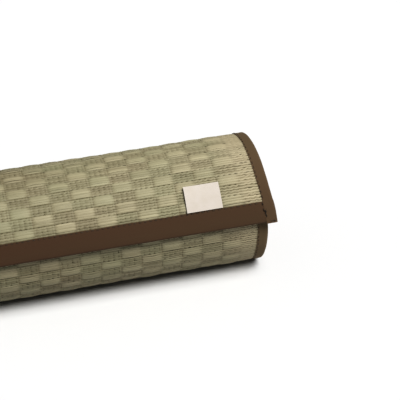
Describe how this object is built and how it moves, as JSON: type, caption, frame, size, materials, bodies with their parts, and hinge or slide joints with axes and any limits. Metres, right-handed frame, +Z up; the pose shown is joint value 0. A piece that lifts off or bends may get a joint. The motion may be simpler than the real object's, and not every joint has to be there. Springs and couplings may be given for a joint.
{
  "type": "rolled tatami yoga mat",
  "caption": "Rush floor mat bound with dark cotton tape, rolled up around an open core with its free end lying on the front and a small bare cloth label.",
  "frame": {"origin": "on the surface the roll lies on, under the middle of its box", "axes": "+X along the roll's axis towards the end with the label, -Y to the front where the free end lies, +Z up"},
  "size_m": [0.6082, 0.131, 0.1243],
  "materials": {
    "rush": "woven soft rush, satin",
    "tape": "brown cotton binding tape, matt",
    "label": "cream woven cotton, matt"
  },
  "bodies": {
    "root": {"rush_mat": "rush", "side_tape_right": "tape", "side_tape_left": "tape", "end_tape": "tape", "inner_end_tape": "tape", "label": "label"}
  },
  "joints": []
}
